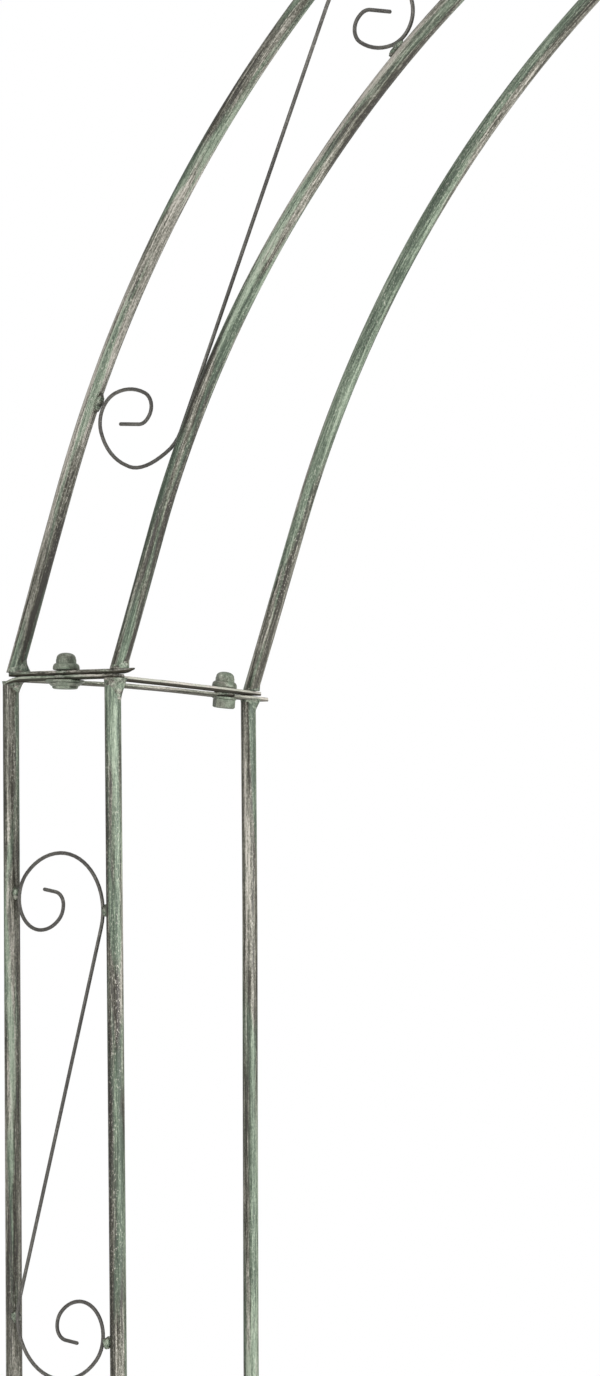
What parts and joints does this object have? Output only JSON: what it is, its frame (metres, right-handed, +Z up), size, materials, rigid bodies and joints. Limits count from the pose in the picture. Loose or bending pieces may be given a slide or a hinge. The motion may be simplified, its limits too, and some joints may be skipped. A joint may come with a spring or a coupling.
{
  "type": "garden trellis arch",
  "caption": "Free-standing metal trellis arch: round tube legs and a bolted arch top, joined by flat bar brackets, with S-shaped wire scrolls between the front tubes.",
  "frame": {"origin": "On the ground plane under the middle of the arch, halfway between the two legs and halfway front to back.", "axes": "+X runs across the walkway to the right leg, -Y is the front with the scrolls, +Z is up."},
  "size_m": [1.3988, 0.2518, 2.3014],
  "materials": {
    "patina_steel": "streaked dark brown paint rubbed with grey-green patina, satin",
    "scroll_wire": "dark brown-grey paint, matt",
    "painted_fastener": "grey-green paint with worn edges, satin"
  },
  "bodies": {
    "root": {"crown_front_bolt": "painted_fastener", "crown_front_cap_nut": "painted_fastener", "crown_front_washer": "painted_fastener", "crown_rear_bolt": "painted_fastener", "crown_rear_cap_nut": "painted_fastener", "crown_rear_washer": "painted_fastener", "left_arch_crown_bracket": "patina_steel", "left_arch_foot_bracket": "patina_steel", "left_arch_inner_tube": "patina_steel", "left_arch_outer_tube": "patina_steel", "left_arch_rear_tube": "patina_steel", "left_arch_scroll_1": "scroll_wire", "left_arch_scroll_2": "scroll_wire", "left_joint_front_bolt": "painted_fastener", "left_joint_front_cap_nut": "painted_fastener", "left_joint_front_washer": "painted_fastener", "left_joint_rear_bolt": "painted_fastener", "left_joint_rear_cap_nut": "painted_fastener", "left_joint_rear_washer": "painted_fastener", "left_leg_foot_bracket": "patina_steel", "left_leg_inner_tube": "patina_steel", "left_leg_outer_tube": "patina_steel", "left_leg_rear_tube": "patina_steel", "left_leg_scroll_1": "scroll_wire", "left_leg_scroll_2": "scroll_wire", "left_leg_scroll_3": "scroll_wire", "left_leg_scroll_4": "scroll_wire", "left_leg_top_bracket": "patina_steel", "right_arch_crown_bracket": "patina_steel", "right_arch_foot_bracket": "patina_steel", "right_arch_inner_tube": "patina_steel", "right_arch_outer_tube": "patina_steel", "right_arch_rear_tube": "patina_steel", "right_arch_scroll_1": "scroll_wire", "right_arch_scroll_2": "scroll_wire", "right_joint_front_bolt": "painted_fastener", "right_joint_front_cap_nut": "painted_fastener", "right_joint_front_washer": "painted_fastener", "right_joint_rear_bolt": "painted_fastener", "right_joint_rear_cap_nut": "painted_fastener", "right_joint_rear_washer": "painted_fastener", "right_leg_foot_bracket": "patina_steel", "right_leg_inner_tube": "patina_steel", "right_leg_outer_tube": "patina_steel", "right_leg_rear_tube": "patina_steel", "right_leg_scroll_1": "scroll_wire", "right_leg_scroll_2": "scroll_wire", "right_leg_scroll_3": "scroll_wire", "right_leg_scroll_4": "scroll_wire", "right_leg_top_bracket": "patina_steel"}
  },
  "joints": []
}
